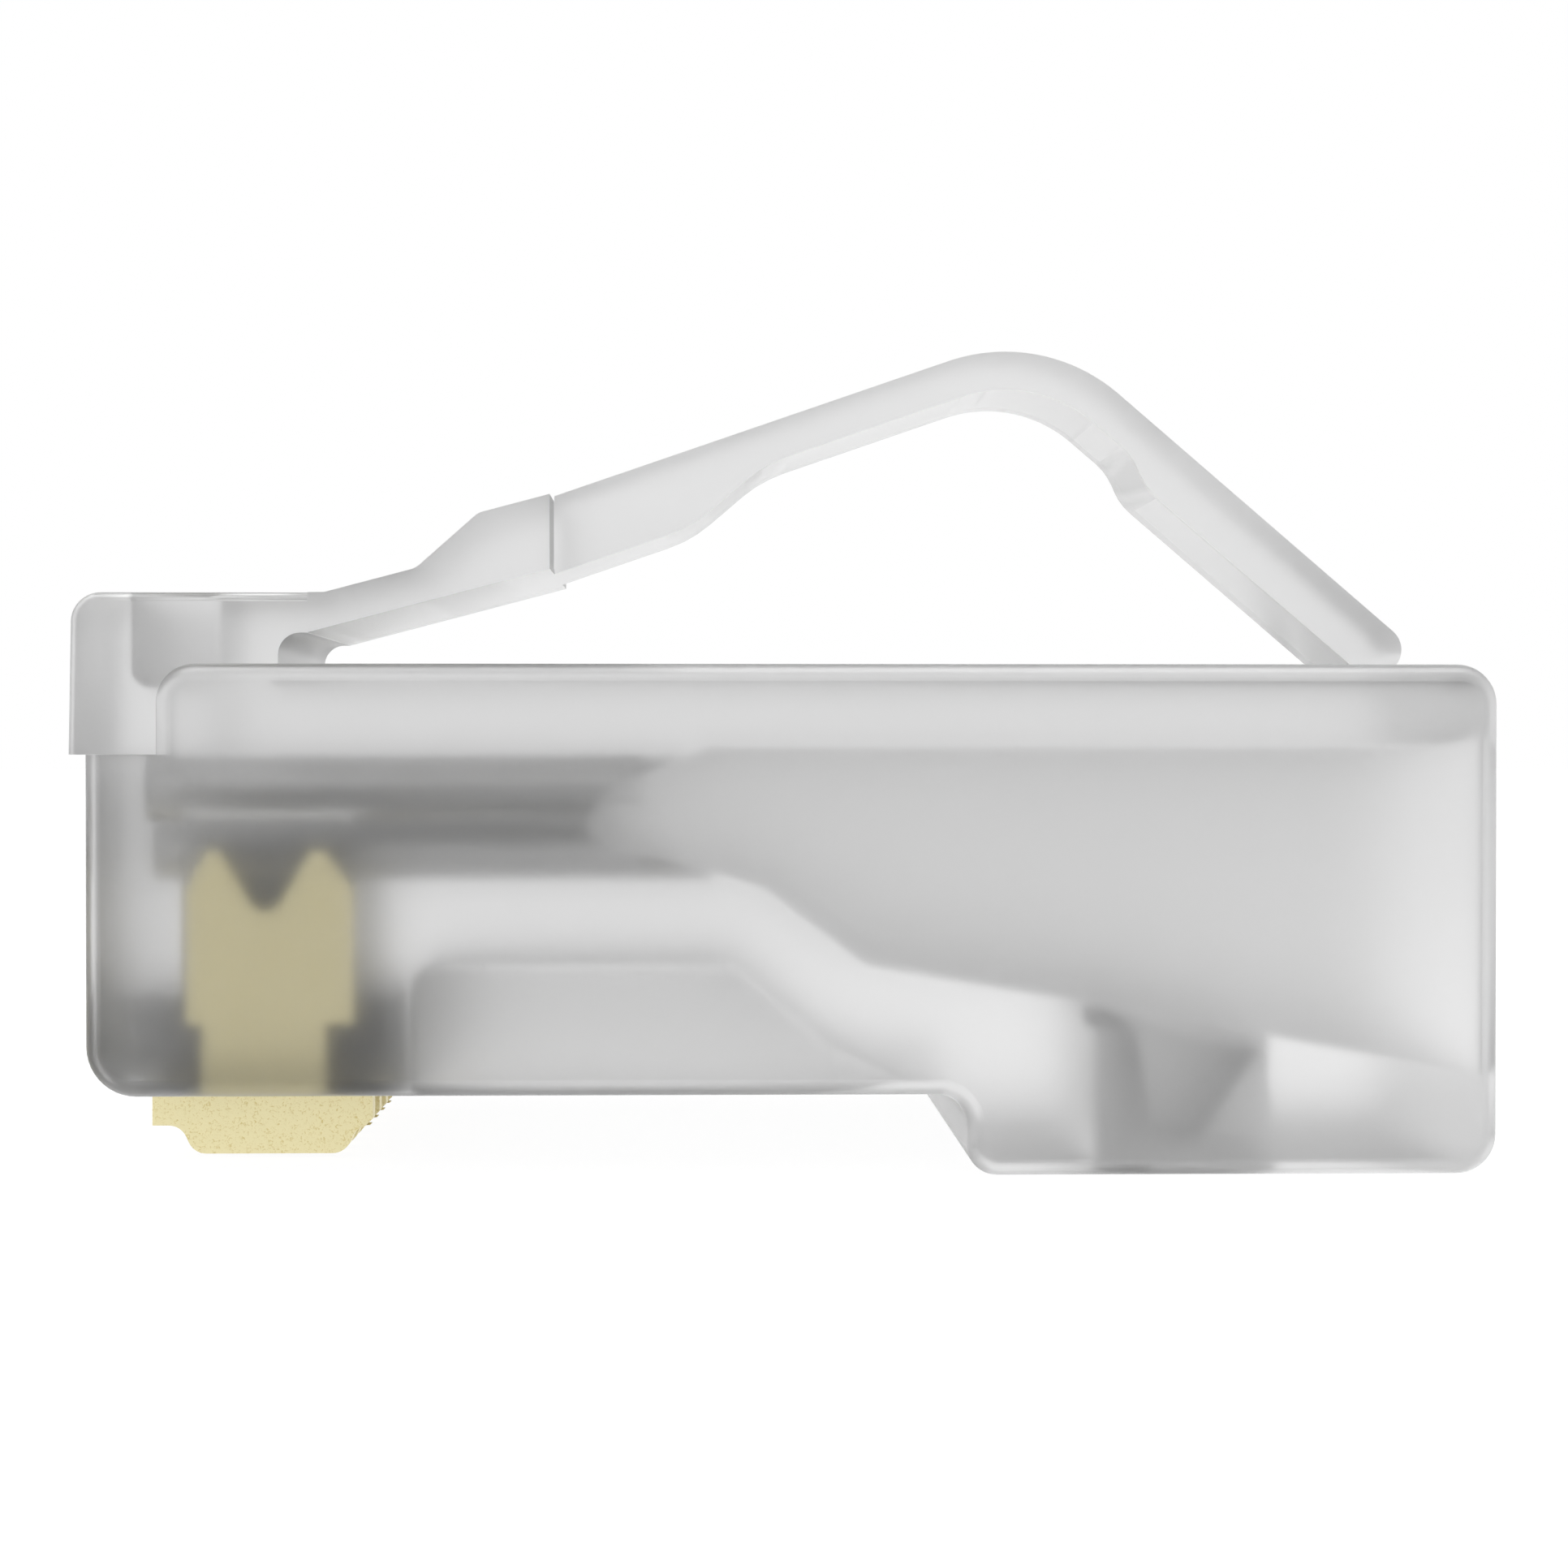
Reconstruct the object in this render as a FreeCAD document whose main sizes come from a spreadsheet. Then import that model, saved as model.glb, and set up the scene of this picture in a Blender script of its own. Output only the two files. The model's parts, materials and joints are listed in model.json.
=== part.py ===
import FreeCAD, Part
import math
import os
import re

import Sketcher

# Eight-way modular plug, not yet crimped. Millimetres, +Z up.
# The nose points to -X, the cable comes in from +X and the latch is on top.
# Origin: middle of the plug's length and width, at the level of the heel's underside.

# Driving dimensions. Lengths along X are measured from the front face of the body, and heights
# from the underside of the heel, unless the name says otherwise.
SIZES = {
    # body
    "body_length": 21.27,
    "body_width": 11.68,
    "body_height": 6.5,
    "heel_drop": 1.22,
    "heel_length": 8.04,
    "heel_fillet": 0.45,
    "front_lower_round": 0.75,
    "rear_round": 0.6,
    "rail_setback": 1.05,
    "rail_front_round": 0.58,
    "body_edge_round": 0.26,
    "ledge_drop": 1.37,
    # nose block that carries the latch
    "block_width": 6.15,
    "block_overhang": 0.79,
    "block_draft": 0.05,
    "block_rise": 1.2,
    "block_front_round": 0.47,
    "block_core_start": 0.13,
    "block_core_length": 1.42,
    "block_core_width": 4.4,
    "block_core_depth": 1.5,
    "block_core_round": 0.3,
    # slot and recess under the latch
    "root_slot_front": 2.53,
    "root_slot_top_drop": 0.64,
    "root_slot_round": 0.35,
    "recess_width": 6.8,
    "recess_depth": 0.25,
    # latch root and arm
    "root_x": 3.17,
    "root_drop": 0.305,
    "root_thickness": 0.55,
    "knuckle_gap": 0.03,
    "arm_rise_angle": 14.8,
    "ramp_start_x": 4.7,
    "ramp_round": 0.35,
    "ramp_end_x": 5.69,
    "ramp_end_rise": 2.46,
    "shoulder_x": 6.82,
    "shoulder_rise": 2.76,
    "arm_width": 3.25,
    "arm_top_step": 0.08,
    "arm_slope": 19.04,
    "arm_thickness": 1.2,
    "thin_start_x": 9.06,
    "thin_end_x": 10.26,
    "thin_round": 2.2,
    "arch_thickness": 0.62,
    "arch_corner_x": 14.82,
    "arch_round": 2.86,
    "tail_slope": 40.6,
    "tail_thickness": 0.88,
    "tail_length": 8.0,
    "tail_thin_end": 2.45,
    "tail_thick_start": 3.0,
    "tail_step_round": 1.0,
    "tip_round": 0.4,
    "latch_edge_round": 0.14,
    # contacts
    "contact_pitch": 1.016,
    "contact_thickness": 0.35,
    "contact_gap": 0.03,
    "contact_bottom": 0.12,
    "contact_travel": 1.35,
    "head_front": 0.655,
    "head_rear": 4.085,
    "head_ledge_rise": 0.44,
    "head_chamfer": 0.1,
    "head_front_gap": 0.27,
    "head_rear_gap": 0.43,
    "toe_front": 1.3,
    "toe_rear": 3.65,
    "toe_slope": 0.2,
    "toe_round": 0.3,
    "neck_front": 1.55,
    "neck_rear": 3.45,
    "neck_top_rise": 2.08,
    "blade_front": 1.31,
    "blade_rear": 3.87,
    "blade_top_rise": 4.27,
    "tine_rise": 4.87,
    "tine_tip": 0.2,
    "tine_front": 1.72,
    "tine_rear": 3.32,
    "notch_rise": 3.94,
    "notch_flat": 0.3,
    "notch_round": 0.25,
    "end_gap": 0.1,
    # wire channels in two staggered rows
    "channel_round": 0.51,
    "channel_front": 0.72,
    "channel_rear": 8.3,
    "upper_channel_drop": 1.87,
    "row_step": 0.93,
    # cable cavity
    "cavity_width": 8.0,
    "cavity_roof_drop": 1.22,
    "mouth_flare": 0.16,
    "mouth_flare_length": 0.6,
    "funnel_apex_x": 7.2,
    "funnel_apex_drop": 2.45,
    "funnel_upper_x": 8.35,
    "funnel_upper_drop": 1.68,
    "funnel_roof_x": 9.3,
    "funnel_lower_x": 8.1,
    "funnel_lower_rise": 4.93,
    "step_x": 10.15,
    "step_rise": 4.3,
    "ramp_foot_x": 11.75,
    "ramp_foot_rise": 3.1,
    "floor_knee_x": 15.1,
    "floor_knee_rise": 2.52,
    "mouth_floor_rise": 1.4,
    # core-out in the underside, behind the contacts
    "core_width": 8.0,
    "core_front": 4.82,
    "core_roof_rise": 3.14,
    "core_roof_length": 4.9,
    "core_slope_x": 11.15,
    "core_slope_rise": 1.9,
    "core_end_x": 12.65,
    "core_round": 0.25,
    # heel: window and pressure bar
    "window_front": 15.15,
    "window_length": 2.85,
    "window_width": 7.4,
    "window_lip_rise": 1.3,
    "window_lip_flare": 0.25,
    "bar_gap": 0.1,
    "bar_plate": 0.36,
    "bar_front_x": 16.0,
    "bar_foot_front_x": 16.25,
    "bar_foot_length": 0.65,
    "bar_foot_rise": 0.35,
    "bar_foot_round": 0.15,
    "bar_rear_rise": 0.45,
}

# Heights and places that several pieces share, worked out in the sheet from the sizes above.
DERIVED = {
    "front_to_origin": "(body_length - block_overhang) / 2",
    "rail_top": "heel_drop + body_height",
    "ledge": "rail_top - ledge_drop",
    "block_top": "rail_top + block_rise",
    "recess_floor": "rail_top - recess_depth",
    "heel_x": "body_length - heel_length",
    "root_z": "block_top - root_drop",
    "root_half": "root_thickness / 2",
    "root_face_x": "root_x - root_half + 0.1",
    "root_slot_top": "block_top - root_slot_top_drop",
    "shoulder_top": "rail_top + shoulder_rise",
    "arm_start_top": "shoulder_top + arm_top_step",
    "arch_corner_z": "arm_start_top + (arch_corner_x - shoulder_x) * tan(arm_slope)",
    "half_turn": "(arm_slope + tail_slope) / 2",
    "half_lean": "(arm_slope - tail_slope) / 2",
    "arch_inset": "arch_thickness / cos(half_turn)",
    "arch_x": "arch_corner_x - arch_round * (tan(half_turn) * cos(arm_slope) - sin(arm_slope))",
    "arch_top": "arch_corner_z - arch_round * (tan(half_turn) * sin(arm_slope) + cos(arm_slope) - 1)",
    "arch_z": "arch_top - arch_thickness / 2",
    "cavity_roof": "rail_top - cavity_roof_drop",
    "window_rear": "window_front + window_length",
    "bar_pivot_x": "window_front + bar_plate / 2",
    "bar_pivot_z": "floor_knee_rise - bar_plate / 2 - 0.02",
}

CONTACT_COUNT = 8

doc = FreeCAD.newDocument("modular_plug")
sheet = doc.addObject("Spreadsheet::Sheet", "Sizes")


def fill_sheet():
    """Put each driving dimension in its own row, with its name as the cell's alias."""
    for row, (name, size) in enumerate(SIZES.items(), start=1):
        sheet.set(f"A{row}", name)
        sheet.set(f"B{row}", str(size))
        sheet.setAlias(f"B{row}", name)
    doc.recompute()
    for row, (name, formula) in enumerate(DERIVED.items(), start=len(SIZES) + 1):
        sheet.set(f"A{row}", name)
        sheet.set(f"B{row}", f"={formula}")
        sheet.setAlias(f"B{row}", name)
        doc.recompute()


def bound(text):
    """Turn a formula in plain names into one that reads the sheet."""
    return re.sub(r"[a-z]\w*\b(?!\()", lambda word: "Sizes." + word.group(0), text)


def value(text):
    """The present number behind a formula in plain names."""
    result = sheet.evalExpression(bound(text))
    return float(getattr(result, "Value", result))


def origin_plane(body, role):
    """One of the body's own origin planes or axes."""
    return next(item for item in body.Origin.OriginFeatures if item.Role == role)


def new_sketch(body, name, role, offset="0"):
    """A sketch on one of the body's origin planes, moved along the plane's normal by a formula."""
    sketch = body.newObject("Sketcher::SketchObject", name)
    sketch.AttachmentSupport = [(origin_plane(body, role), "")]
    sketch.MapMode = "FlatFace"
    sketch.setExpression(".AttachmentOffset.Base.z", bound(offset))
    return sketch


def hold(sketch, geometry, position, text_x, text_y):
    """Fix one point of the sketch at two bound distances from its origin."""
    for kind, text in (("DistanceX", text_x), ("DistanceY", text_y)):
        index = sketch.addConstraint(
            Sketcher.Constraint(kind, -1, 1, geometry, position, value(text))
        )
        sketch.setExpression(f"Constraints[{index}]", bound(text))


def corner_points(before, corner, after, radius):
    """Where a rounding of the given radius leaves the two sides of a corner, and its centre."""
    to_before = (before - corner).normalize()
    to_after = (after - corner).normalize()
    half_angle = to_before.getAngle(to_after) / 2
    reach = radius / math.tan(half_angle)
    bisector = (to_before + to_after).normalize()
    centre = corner + bisector * (radius / math.sin(half_angle))
    return corner + to_before * reach, corner + to_after * reach, centre


def draw_outline(sketch, corners):
    """Draw a closed outline in a sketch.

    Each corner is (x, y) or (x, y, radius), all formulas. A rounded corner becomes an arc
    tangent to both sides, and the sketch keeps its corner point and radius as constraints.
    """
    places = [FreeCAD.Vector(value(c[0]), value(c[1]), 0) for c in corners]
    count = len(corners)
    entries, exits, centres = [], [], []
    for i, corner in enumerate(corners):
        if len(corner) == 3:
            entry, leave, centre = corner_points(
                places[i - 1], places[i], places[(i + 1) % count], value(corner[2])
            )
        else:
            entry = leave = places[i]
            centre = None
        entries.append(entry)
        exits.append(leave)
        centres.append(centre)
    sides = [
        sketch.addGeometry(Part.LineSegment(exits[i], entries[(i + 1) % count]), False)
        for i in range(count)
    ]
    for i, corner in enumerate(corners):
        side_in, side_out = sides[i - 1], sides[i]
        if centres[i] is None:
            sketch.addConstraint(Sketcher.Constraint("Coincident", side_in, 2, side_out, 1))
            hold(sketch, side_out, 1, corner[0], corner[1])
            continue
        add_round_corner(sketch, side_in, side_out, places[i], centres[i], corner)


def add_round_corner(sketch, side_in, side_out, place, centre, corner):
    """Join two sides by a tangent arc whose sharp corner point is held by the sheet."""
    start = sketch.getPoint(side_in, 2)
    finish = sketch.getPoint(side_out, 1)
    middle = centre + (place - centre).normalize() * (start - centre).Length
    arc = sketch.addGeometry(Part.Arc(start, middle, finish), False)
    arc_start = sketch.getPoint(arc, 1)
    first, last = (1, 2) if (arc_start - start).Length < (arc_start - finish).Length else (2, 1)
    point = sketch.addGeometry(Part.Point(place), True)
    sketch.addConstraint(Sketcher.Constraint("Tangent", side_in, 2, arc, first))
    sketch.addConstraint(Sketcher.Constraint("Tangent", arc, last, side_out, 1))
    sketch.addConstraint(Sketcher.Constraint("PointOnObject", point, 1, side_in))
    sketch.addConstraint(Sketcher.Constraint("PointOnObject", point, 1, side_out))
    hold(sketch, point, 1, corner[0], corner[1])
    index = sketch.addConstraint(Sketcher.Constraint("Radius", arc, value(corner[2])))
    sketch.setExpression(f"Constraints[{index}]", bound(corner[2]))


def draw_circle(sketch, x, y, radius):
    """Draw one circle whose centre and radius are formulas."""
    centre = FreeCAD.Vector(value(x), value(y), 0)
    circle = sketch.addGeometry(
        Part.Circle(centre, FreeCAD.Vector(0, 0, 1), value(radius)), False
    )
    hold(sketch, circle, 3, x, y)
    index = sketch.addConstraint(Sketcher.Constraint("Radius", circle, value(radius)))
    sketch.setExpression(f"Constraints[{index}]", bound(radius))


def add_feature(body, kind, name, sketch, length, symmetric=True, reverse=False):
    """Pad or pocket a sketch by a formula, and check that it changed the solid."""
    before = body.Tip.Shape.Volume if body.Tip else 0.0
    feature = body.newObject(f"PartDesign::{kind}", name)
    feature.Profile = sketch
    feature.Type = "Length"
    feature.SideType = "Symmetric" if symmetric else "One side"
    feature.Reversed = reverse
    feature.setExpression("Length", bound(length))
    sketch.Visibility = False
    doc.recompute()
    change = feature.Shape.Volume - before
    if (kind == "Pad" and change < 1e-6) or (kind == "Pocket" and change > -1e-6):
        raise RuntimeError(f"{name} changes nothing")
    return feature


def repeat(body, name, features, axis, spacing, count):
    """Repeat features along one of the body's axes at a spacing given as a formula."""
    before = body.Tip.Shape.Volume
    pattern = body.newObject("PartDesign::LinearPattern", name)
    pattern.Originals = features
    pattern.Direction = (origin_plane(body, axis), [""])
    pattern.Mode = "Spacing"
    pattern.Occurrences = count
    pattern.setExpression("Offset", bound(spacing))
    body.Tip = pattern
    doc.recompute()
    if abs(pattern.Shape.Volume - before) < 1e-6:
        raise RuntimeError(f"{name} repeats nothing")
    return pattern


def round_edges(body, name, radius, wanted):
    """Fillet the edges of the present tip for which wanted(edge) is true."""
    base = body.Tip
    names = [
        f"Edge{i}" for i, edge in enumerate(base.Shape.Edges, start=1) if wanted(edge)
    ]
    if not names:
        raise RuntimeError(f"{name} finds no edge")
    fillet = body.newObject("PartDesign::Fillet", name)
    fillet.Base = (base, names)
    fillet.setExpression("Radius", bound(radius))
    doc.recompute()
    return fillet


def runs_along(edge, axis, **places):
    """Is this a straight edge along an axis that lies at the given coordinates?"""
    first, last = edge.Vertexes[0].Point, edge.Vertexes[-1].Point
    others = [name for name in "xyz" if name != axis]
    if edge.Length < 1e-3 or edge.Curve.TypeId != "Part::GeomLine":
        return False
    if any(abs(getattr(first, name) - getattr(last, name)) > 1e-4 for name in others):
        return False
    return all(abs(abs(getattr(first, name)) - place) < 1e-3 for name, place in places.items())


def lies_in_side(edge, half_width):
    """Does the edge lie all in one of the two side planes at the given Y?"""
    box = edge.BoundBox
    return box.YLength < 1e-4 and abs(abs(box.YMin) - half_width) < 1e-3


def new_body(name):
    """A body whose X runs from the front face of the plug and whose Placement moves it home."""
    body = doc.addObject("PartDesign::Body", name)
    body.Label = name
    body.setExpression(".Placement.Base.x", bound("-front_to_origin"))
    return body


def side_sketch(body, name, corners, offset="0"):
    """An outline in the plug's side view: X to the rear, Z up."""
    sketch = new_sketch(body, name, "XZ_Plane", offset)
    draw_outline(sketch, corners)
    return sketch


# The housing moulding ----------------------------------------------------------------------


def body_outline():
    """Side outline of the body: face, underside, heel, rear, rails and the step at the front."""
    return [
        ("0", "heel_drop", "front_lower_round"),
        ("heel_x", "heel_drop", "heel_fillet"),
        ("heel_x", "0", "heel_fillet"),
        ("body_length", "0", "rear_round"),
        ("body_length", "rail_top", "rear_round"),
        ("rail_setback", "rail_top", "rail_front_round"),
        ("rail_setback", "ledge"),
        ("0", "ledge"),
    ]


def block_outline():
    """Side outline of the nose block, with the slot under the latch root behind it."""
    return [
        ("-block_overhang", "ledge"),
        ("(block_draft - block_overhang)", "block_top", "block_front_round"),
        ("root_face_x", "block_top"),
        ("root_face_x", "root_slot_top"),
        ("root_slot_front", "root_slot_top", "root_slot_round"),
        ("root_slot_front", "ledge"),
    ]


def recess_outline():
    """Side outline of the shallow channel between the rails, where the latch tail slides."""
    return [
        ("root_slot_front", "recess_floor", "root_slot_round / 2"),
        ("(body_length + 1)", "recess_floor"),
        ("(body_length + 1)", "(rail_top + 3)"),
        ("root_slot_front", "(rail_top + 3)"),
    ]


def cavity_outline():
    """Side outline of the cable cavity, from the flared mouth to the funnel at the channels."""
    return [
        ("(body_length + 1)", "(cavity_roof + mouth_flare * (1 + 1 / mouth_flare_length))"),
        ("(body_length - mouth_flare_length)", "cavity_roof"),
        ("funnel_roof_x", "cavity_roof"),
        ("funnel_upper_x", "(rail_top - funnel_upper_drop)"),
        ("funnel_apex_x", "(rail_top - funnel_apex_drop)", "0.25"),
        ("funnel_lower_x", "funnel_lower_rise"),
        ("step_x", "step_rise"),
        ("ramp_foot_x", "ramp_foot_rise", "0.4"),
        ("floor_knee_x", "floor_knee_rise"),
        ("body_length", "mouth_floor_rise"),
        ("(body_length + 1)", "mouth_floor_rise"),
    ]


def core_outline():
    """Side outline of the core-out that is open to the underside."""
    return [
        ("core_front", "core_roof_rise", "core_round"),
        ("(core_front + core_roof_length)", "core_roof_rise", "core_round"),
        ("core_slope_x", "core_slope_rise"),
        ("core_end_x", "heel_drop"),
        ("core_end_x", "0"),
        ("core_front", "0"),
    ]


def window_outline():
    """Side outline of the opening that the pressure bar stands in."""
    return [
        ("bar_pivot_x", "(floor_knee_rise + 1)"),
        ("window_rear", "(floor_knee_rise + 1)"),
        ("window_rear", "window_lip_rise"),
        ("(window_rear + window_lip_flare)", "(-1)"),
        ("bar_pivot_x", "(-1)"),
    ]


def pocket_box(x_front, x_rear, z_top):
    """Outline of a plain slot that runs up from below the underside."""
    return [(x_front, "0"), (x_rear, "0"), (x_rear, z_top), (x_front, z_top)]


# Rear rows of wires lie in the lower channels, front rows in the upper ones. Contacts 1, 3, 5
# and 7 reach the upper row, the others the lower row.
ROWS = {
    "upper": {"first": 0, "drop": "upper_channel_drop", "short": "0"},
    "lower": {"first": 1, "drop": "(upper_channel_drop + row_step)", "short": "row_step"},
}


def contact_y(index):
    """Formula for the Y of a contact, counted from 0 at the -Y side."""
    return f"(({index} - {(CONTACT_COUNT - 1) / 2}) * contact_pitch)"


def cut_contact_slots(body, row, layout):
    """Cut the stepped slot of every second contact and the wire channel above it."""
    # The side sketch's normal points to -Y, so its offset is minus the contact's Y.
    away = f"(-1 * {contact_y(layout['first'])})"
    width = "(contact_thickness + 2 * contact_gap)"
    head = side_sketch(
        body,
        f"{row}_head_slot_outline",
        pocket_box(
            "(head_front - head_front_gap)",
            "(head_rear + head_rear_gap)",
            "(heel_drop + contact_travel + end_gap)",
        ),
        away,
    )
    head_cut = add_feature(body, "Pocket", f"{row}_head_slot", head, width)
    blade = side_sketch(
        body,
        f"{row}_blade_slot_outline",
        pocket_box(
            "(blade_front - end_gap / 2)",
            "(blade_rear + end_gap / 2)",
            f"(tine_rise - {layout['short']} + contact_travel + end_gap)",
        ),
        away,
    )
    blade_cut = add_feature(body, "Pocket", f"{row}_blade_slot", blade, width)
    channel = new_sketch(body, f"{row}_channel_outline", "YZ_Plane", "channel_front")
    draw_circle(
        channel, contact_y(layout["first"]), f"(rail_top - {layout['drop']})", "channel_round"
    )
    channel_cut = add_feature(
        body,
        "Pocket",
        f"{row}_channel",
        channel,
        "(channel_rear - channel_front)",
        symmetric=False,
        reverse=True,
    )
    repeat(
        body,
        f"{row}_row",
        [head_cut, blade_cut, channel_cut],
        "Y_Axis",
        "2 * contact_pitch",
        CONTACT_COUNT // 2,
    )


def make_housing():
    """Body, rails, nose block, cavity, channels, slots, core-out, heel and window in one."""
    body = new_body("housing")
    add_feature(
        body, "Pad", "body_block", side_sketch(body, "body_outline", body_outline()), "body_width"
    )
    ledge = value("ledge")
    round_edges(
        body,
        "body_edges",
        "body_edge_round",
        lambda edge: lies_in_side(edge, value("body_width / 2"))
        and not runs_along(edge, "x", z=ledge),
    )
    recess = side_sketch(body, "recess_outline", recess_outline())
    add_feature(body, "Pocket", "latch_recess", recess, "recess_width")
    add_feature(
        body, "Pad", "nose_block", side_sketch(body, "nose_outline", block_outline()), "block_width"
    )
    round_edges(
        body,
        "block_edges",
        "latch_edge_round",
        lambda edge: lies_in_side(edge, value("block_width / 2"))
        and edge.BoundBox.ZMin > ledge - 1e-3
        and edge.BoundBox.ZMax > value("rail_top")
        and edge.BoundBox.XMax < value("root_face_x") + 1e-3
        and edge.BoundBox.XMin < 0,
    )
    core = side_sketch(
        body,
        "block_core_outline",
        [
            ("block_core_start", "(block_top + 1)"),
            ("block_core_start", "(block_top - block_core_depth)", "block_core_round"),
            (
                "(block_core_start + block_core_length)",
                "(block_top - block_core_depth)",
                "block_core_round",
            ),
            ("(block_core_start + block_core_length)", "(block_top + 1)"),
        ],
    )
    add_feature(body, "Pocket", "block_core", core, "block_core_width")
    seat = new_sketch(body, "root_seat_outline", "XZ_Plane")
    draw_circle(seat, "root_x", "root_z", "(root_thickness / 2 + knuckle_gap)")
    add_feature(body, "Pocket", "root_seat", seat, "(block_width + 1)")
    for row, layout in ROWS.items():
        cut_contact_slots(body, row, layout)
    cavity = side_sketch(body, "cavity_outline", cavity_outline())
    add_feature(body, "Pocket", "cable_cavity", cavity, "cavity_width")
    add_feature(
        body, "Pocket", "underside_core", side_sketch(body, "core_outline", core_outline()), "core_width"
    )
    window = side_sketch(body, "window_outline", window_outline())
    add_feature(body, "Pocket", "bar_window", window, "window_width")
    bar_seat = new_sketch(body, "bar_seat_outline", "XZ_Plane")
    draw_circle(bar_seat, "bar_pivot_x", "bar_pivot_z", "(bar_plate / 2 + knuckle_gap)")
    add_feature(body, "Pocket", "bar_seat", bar_seat, "window_width")
    return body


# The latch ---------------------------------------------------------------------------------


def along(x, z, slope, distance, side="0"):
    """Formulas for a point a distance down a slope from (x, z) and a distance to its left."""
    to_x = f"({x} + ({distance}) * cos({slope}) - ({side}) * sin({slope}))"
    to_z = f"({z} + ({distance}) * sin({slope}) + ({side}) * cos({slope}))"
    return to_x, to_z


def under_arm(x, thickness):
    """Formulas for a point of the narrow arm's underside at a given x."""
    line = "arm_start_top + (({0}) - shoulder_x) * tan(arm_slope) - ({1}) / cos(arm_slope)"
    return x, f"({line.format(x, thickness)})"


def wide_arm_outline():
    """Side outline of the wide root part: thin flexing root, ramp and shoulder."""
    upper = along("root_x", "root_z", "arm_rise_angle", "0", "root_half")
    lower = along("root_x", "root_z", "arm_rise_angle", "0", "(-root_half)")
    ramp = "(root_z + (ramp_start_x - root_x) * tan(arm_rise_angle) + root_half / cos(arm_rise_angle))"
    under = "(root_z + (shoulder_x - root_x) * tan(arm_rise_angle) - root_half / cos(arm_rise_angle))"
    return [
        lower,
        ("shoulder_x", under),
        ("shoulder_x", "shoulder_top"),
        ("ramp_end_x", "(rail_top + ramp_end_rise)", "ramp_round"),
        ("ramp_start_x", ramp, "ramp_round"),
        upper,
    ]


def narrow_latch_outline():
    """Side outline of the narrow latch: arm, thin arch and the thicker tail with a round tip."""
    corner = ("arch_corner_x", "arch_corner_z")
    tail = ("(-tail_slope)",)
    return [
        ("shoulder_x", "arm_start_top"),
        ("shoulder_x", under_arm("shoulder_x", "arm_thickness")[1]),
        (*under_arm("thin_start_x", "arm_thickness"), "thin_round"),
        (*under_arm("thin_end_x", "arch_thickness"), "thin_round"),
        (
            "(arch_corner_x + arch_inset * sin(half_lean))",
            "(arch_corner_z - arch_inset * cos(half_lean))",
            "(arch_round - arch_thickness)",
        ),
        (*along(*corner, *tail, "tail_thin_end", "(-arch_thickness)"), "tail_step_round"),
        (*along(*corner, *tail, "tail_thick_start", "(-tail_thickness)"), "tail_step_round"),
        (*along(*corner, *tail, "tail_length", "(-tail_thickness)"), "tip_round"),
        (*along(*corner, *tail, "tail_length"), "tip_round"),
        (*corner, "arch_round"),
    ]


def side_of_arch(front):
    """Outline of everything ahead of or behind the middle of the arch."""
    far = "shoulder_x" if front else "(arch_x + 20)"
    far = "(shoulder_x - 20)" if front else far
    return [
        ("arch_x", "(-5)"),
        (far, "(-5)"),
        (far, "(arch_top + 5)"),
        ("arch_x", "(arch_top + 5)"),
    ]


def add_knuckle(body, name, x, z, radius, width):
    """Round a flexing end with a cylinder across the latch."""
    sketch = new_sketch(body, f"{name}_outline", "XZ_Plane")
    draw_circle(sketch, x, z, radius)
    return add_feature(body, "Pad", name, sketch, width)


def round_sides(body, name, width, first_x="-100"):
    """Round the long edges on both sides of a piece of the latch, but not its square ends."""
    half_width = value(f"({width}) / 2")
    start = value(f"({first_x})")
    round_edges(
        body,
        name,
        "latch_edge_round",
        lambda edge: lies_in_side(edge, half_width)
        and edge.BoundBox.XLength > 1e-3
        and edge.BoundBox.XMax > start,
    )


def make_latch_arm():
    """Latch from its root in the nose block to the middle of the arch."""
    body = new_body("latch_arm")
    narrow = side_sketch(body, "narrow_outline", narrow_latch_outline())
    add_feature(body, "Pad", "narrow_arm", narrow, "arm_width")
    behind = side_sketch(body, "behind_arch_outline", side_of_arch(front=False))
    add_feature(body, "Pocket", "arch_cut", behind, "2 * arm_width")
    round_sides(body, "narrow_edges", "arm_width")
    wide = side_sketch(body, "wide_outline", wide_arm_outline())
    add_feature(body, "Pad", "wide_arm", wide, "block_width")
    round_sides(body, "wide_edges", "block_width", "root_x + root_half")
    arch_width = "(arm_width - 2 * latch_edge_round)"
    root_width = "(block_width - 2 * latch_edge_round)"
    add_knuckle(body, "arch_knuckle", "arch_x", "arch_z", "arch_thickness / 2", arch_width)
    add_knuckle(body, "root_knuckle", "root_x", "root_z", "root_half", root_width)
    return body


def make_latch_tail():
    """Latch from the middle of the arch down to the tip that slides between the rails."""
    body = new_body("latch_tail")
    narrow = side_sketch(body, "narrow_outline", narrow_latch_outline())
    add_feature(body, "Pad", "narrow_tail", narrow, "arm_width")
    ahead = side_sketch(body, "ahead_of_arch_outline", side_of_arch(front=True))
    add_feature(body, "Pocket", "arch_cut", ahead, "2 * arm_width")
    round_sides(body, "narrow_edges", "arm_width")
    seat = new_sketch(body, "arch_seat_outline", "XZ_Plane")
    draw_circle(seat, "arch_x", "arch_z", "(arch_thickness / 2 + knuckle_gap)")
    add_feature(body, "Pocket", "arch_seat", seat, "2 * arm_width")
    return body


# The pressure bar --------------------------------------------------------------------------


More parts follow.
